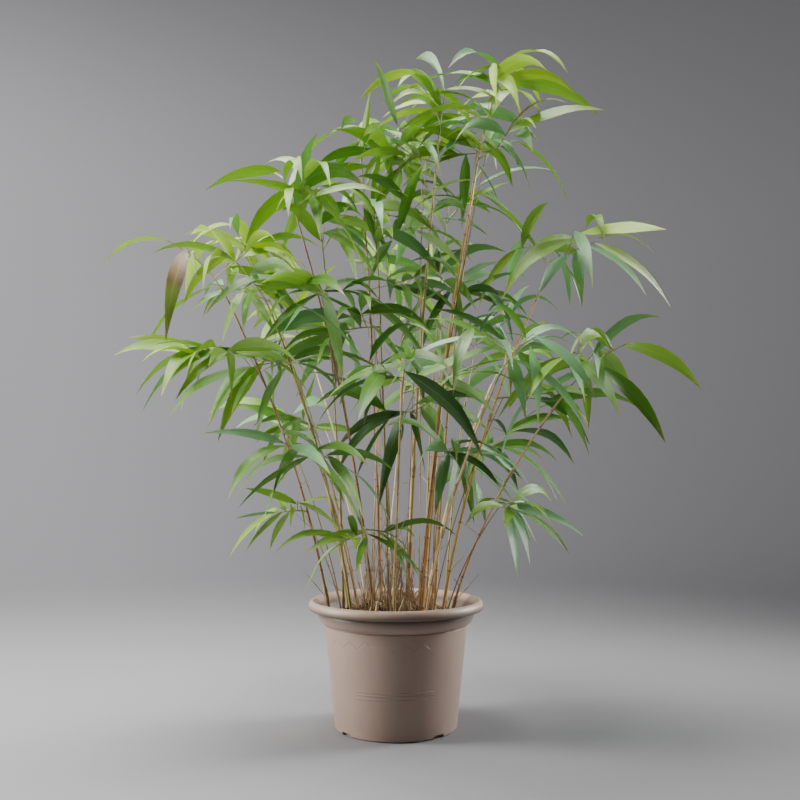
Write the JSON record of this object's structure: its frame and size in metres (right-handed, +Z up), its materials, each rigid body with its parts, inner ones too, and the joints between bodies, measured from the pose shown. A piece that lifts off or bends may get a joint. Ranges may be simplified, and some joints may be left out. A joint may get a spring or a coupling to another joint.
{
  "type": "potted bamboo",
  "caption": "Tall bushy bamboo with slim arching canes and long lance-shaped leaves, growing in a round tapered plastic planter with a rolled rim.",
  "frame": {"origin": "centre of the pot's flat underside, on the surface that it stands on", "axes": "+Z up along the pot's axis, -Y towards the viewer of the picture, +X to the viewer's right"},
  "size_m": [1.1637, 1.0974, 1.3521],
  "materials": {
    "pot_plastic": "satin",
    "potting_soil": "matte",
    "cane": "satin",
    "leaves": "satin"
  },
  "bodies": {
    "root": {"pot": "pot_plastic", "soil": "potting_soil", "culm_1": "cane", "culm_2": "cane", "culm_3": "cane", "culm_4": "cane", "culm_5": "cane", "culm_6": "cane", "culm_7": "cane", "culm_8": "cane", "culm_9": "cane", "culm_10": "cane", "culm_11": "cane", "culm_12": "cane", "culm_13": "cane", "culm_14": "cane", "culm_15": "cane", "culm_16": "cane", "culm_17": "cane", "culm_18": "cane", "culm_19": "cane", "foliage_1_a": "leaves", "foliage_1_b": "leaves", "foliage_1_c": "leaves", "foliage_2_a": "leaves", "foliage_2_b": "leaves", "foliage_2_c": "leaves", "foliage_3_a": "leaves", "foliage_3_b": "leaves", "foliage_4_a": "leaves", "foliage_4_b": "leaves", "foliage_4_c": "leaves", "foliage_5_a": "leaves", "foliage_6_a": "leaves", "foliage_6_b": "leaves", "foliage_7_a": "leaves", "foliage_7_b": "leaves", "foliage_8_a": "leaves", "foliage_8_b": "leaves", "foliage_8_c": "leaves", "foliage_9_a": "leaves", "foliage_9_b": "leaves", "foliage_9_c": "leaves", "foliage_10_a": "leaves", "foliage_10_b": "leaves", "foliage_10_c": "leaves", "foliage_11_a": "leaves", "foliage_12_a": "leaves", "foliage_13_a": "leaves", "foliage_13_b": "leaves", "foliage_14_a": "leaves", "foliage_14_b": "leaves", "foliage_15_a": "leaves", "foliage_15_b": "leaves", "foliage_16_a": "leaves", "foliage_16_b": "leaves", "foliage_17_a": "leaves", "foliage_17_b": "leaves", "foliage_18_a": "leaves", "foliage_19_a": "leaves"}
  },
  "joints": []
}
